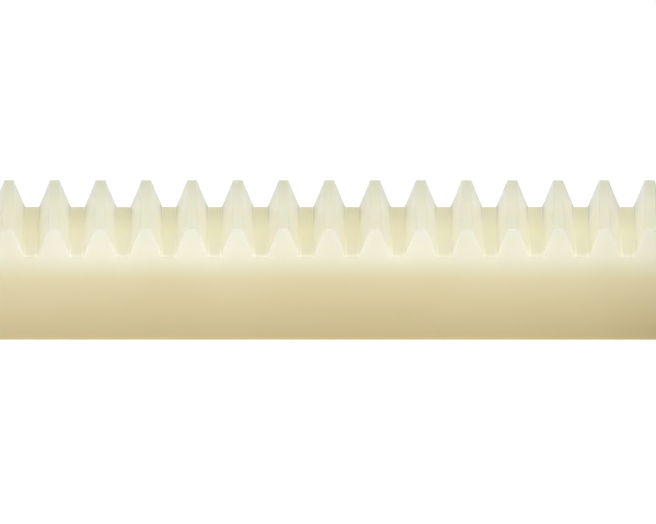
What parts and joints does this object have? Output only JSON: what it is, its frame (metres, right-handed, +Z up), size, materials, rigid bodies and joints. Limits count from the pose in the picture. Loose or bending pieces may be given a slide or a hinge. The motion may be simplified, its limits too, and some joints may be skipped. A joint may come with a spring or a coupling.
{
  "type": "rack and pinion",
  "caption": "Light-duty rack and pinion: a straight off-white nylon rack slides through a low guide, driven by a nylon pinion on a cross shaft.",
  "frame": {"origin": "under the pinion, at the middle of the four mounting holes, on the underside of the base plate", "axes": "+X along the rack towards its stop end, +Y along the drive shaft towards its drive end, +Z up"},
  "size_m": [0.1485, 0.0665, 0.049],
  "materials": {
    "natural_nylon": "natural undyed nylon, slightly translucent, satin",
    "black_acetal": "machined black acetal, satin",
    "anodised_aluminium": "machined and clear anodised, satin",
    "blackened_steel": "black oxide, satin",
    "ground_steel": "ground and polished",
    "spring_steel": "phosphated spring steel",
    "sintered_bronze": "sintered bronze, oiled",
    "insert_brass": "turned brass"
  },
  "bodies": {
    "frame": {"base_plate": "anodised_aluminium", "bearing_block": "anodised_aluminium", "block_screws": "blackened_steel", "rack_guide": "black_acetal", "guide_screws": "blackened_steel", "left_keeper": "black_acetal", "right_keeper": "black_acetal", "keeper_screws": "blackened_steel", "front_bush": "sintered_bronze", "rear_bush": "sintered_bronze"},
    "rack_slide_body": {"rack": "natural_nylon", "rack_inserts": "insert_brass", "load_plate": "anodised_aluminium", "end_stop": "black_acetal", "rack_end_screws": "blackened_steel"},
    "pinion_shaft_body": {"drive_shaft": "ground_steel", "pinion": "natural_nylon", "pinion_set_screw": "blackened_steel", "thrust_washer": "ground_steel", "retaining_ring": "spring_steel"}
  },
  "joints": [
    {"name": "rack_slide", "type": "slide", "parent": "frame", "child": "rack_slide_body", "axis": [1, 0, 0], "range_m": [-0.0014, 0.0909]},
    {"name": "pinion_turn", "type": "hinge", "parent": "frame", "child": "pinion_shaft_body", "pos_m": [0, 0, 0.034], "axis": [0, -1, 0], "range_deg": [-6.5, 386.5]}
  ],
  "couplings": [
    {"joint": "pinion_turn", "follows": "rack_slide", "rad_per_m": 74.074}
  ]
}
